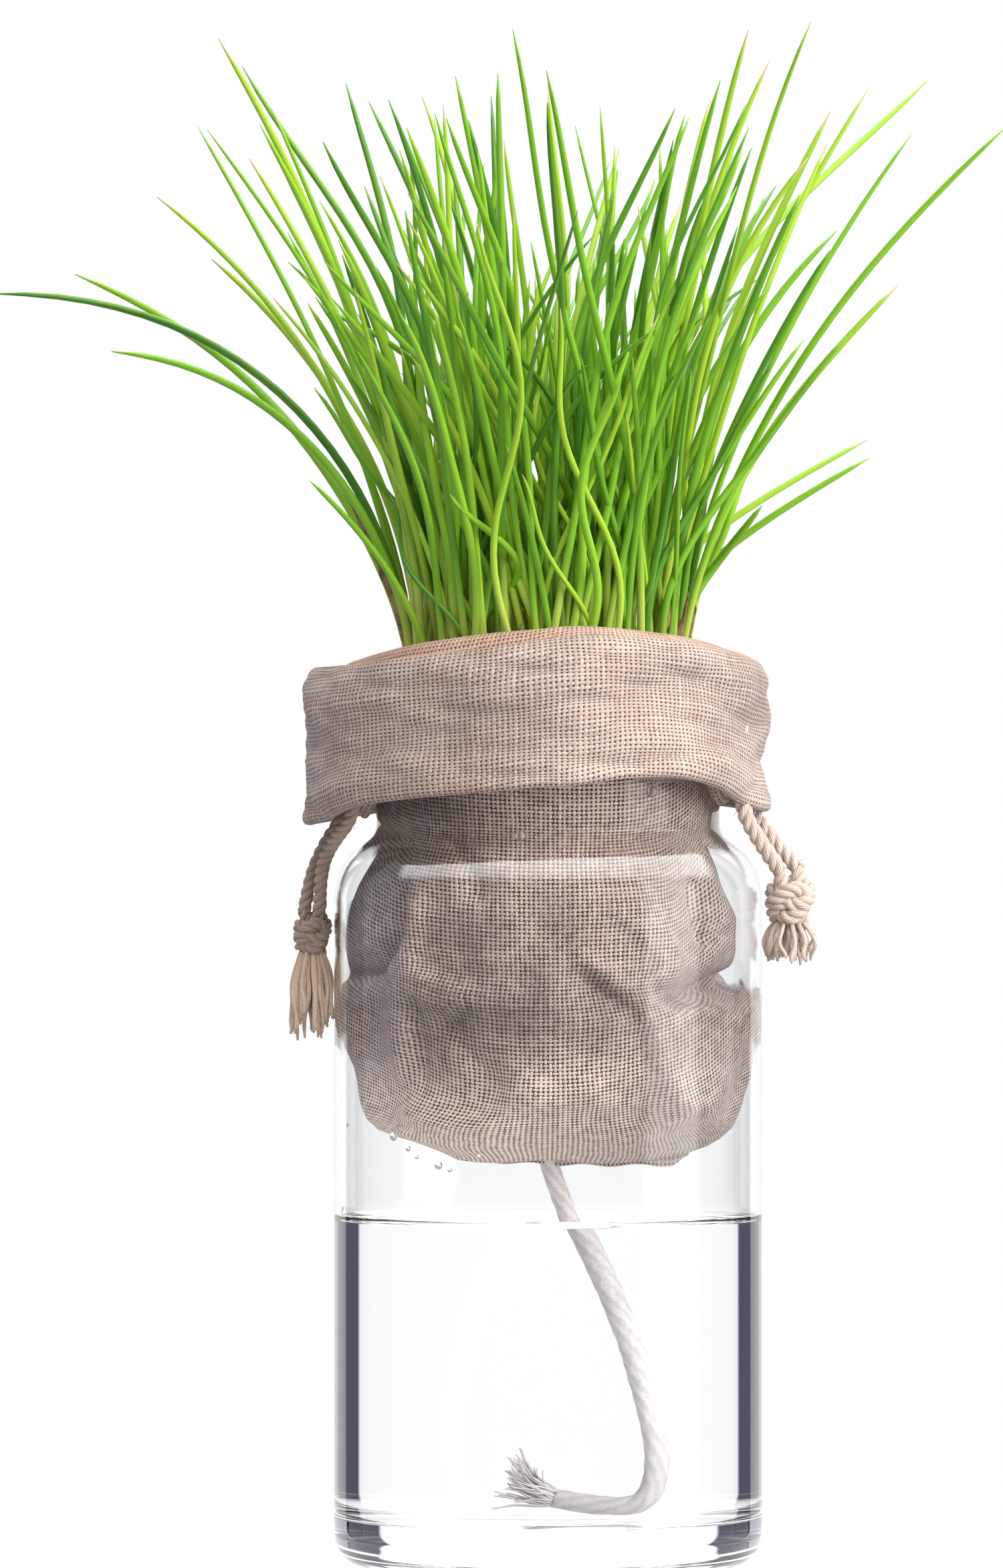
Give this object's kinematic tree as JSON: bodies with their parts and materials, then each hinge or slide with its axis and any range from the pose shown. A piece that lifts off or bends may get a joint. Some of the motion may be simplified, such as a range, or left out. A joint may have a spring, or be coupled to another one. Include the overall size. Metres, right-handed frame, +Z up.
{
  "type": "hydroponic jar planter",
  "caption": "Clear glass jar part filled with water, with chives growing in a linen bag folded over its rim and a cotton wick down to the water.",
  "frame": {"origin": "centre of the jar's flat base, on the surface that it stands on", "axes": "+Z up along the jar; +X to the right of the pictured front; +Y away from the viewer"},
  "size_m": [0.2277, 0.1634, 0.3507],
  "materials": {
    "jar_glass": "gloss",
    "water": "gloss",
    "linen": "matte",
    "coir": "matte",
    "wick_cotton": "matte",
    "grey_cord": "matte",
    "cream_cord": "matte",
    "chive_leaf": "satin",
    "husk": "matte"
  },
  "bodies": {
    "jar": {"glass_jar": "jar_glass", "water": "water"},
    "bag": {"bag_pouch": "linen", "bag_cuff": "linen", "drawstring_casing": "linen", "bag_bottom_seam": "linen", "growing_medium": "coir", "wick_rope": "wick_cotton", "wick_frayed_end": "wick_cotton", "left_cord_run": "grey_cord", "right_cord_run": "cream_cord", "withered_leaves": "husk", "chive_clump_1": "chive_leaf", "chive_clump_2": "chive_leaf", "chive_clump_3": "chive_leaf", "chive_clump_4": "chive_leaf", "chive_clump_5": "chive_leaf", "chive_clump_6": "chive_leaf", "chive_clump_7": "chive_leaf", "chive_clump_8": "chive_leaf"},
    "left_drawstring": {"left_strand_back": "grey_cord", "left_strand_front": "grey_cord", "left_knot": "grey_cord", "left_tassel": "grey_cord"},
    "right_drawstring": {"right_strand_front": "cream_cord", "right_strand_back": "cream_cord", "right_knot": "cream_cord", "right_tassel": "cream_cord"}
  },
  "joints": [
    {"name": "bag_lift", "type": "slide", "parent": "jar", "child": "bag", "axis": [0, 0, 1], "range_m": [0, 0.2], "deforming": ["bag_pouch", "growing_medium", "water"]},
    {"name": "left_pull", "type": "slide", "parent": "bag", "child": "left_drawstring", "axis": [0, 0, -1], "range_m": [0, 0.008]},
    {"name": "right_pull", "type": "slide", "parent": "bag", "child": "right_drawstring", "axis": [0, 0, -1], "range_m": [0, 0.008]}
  ]
}
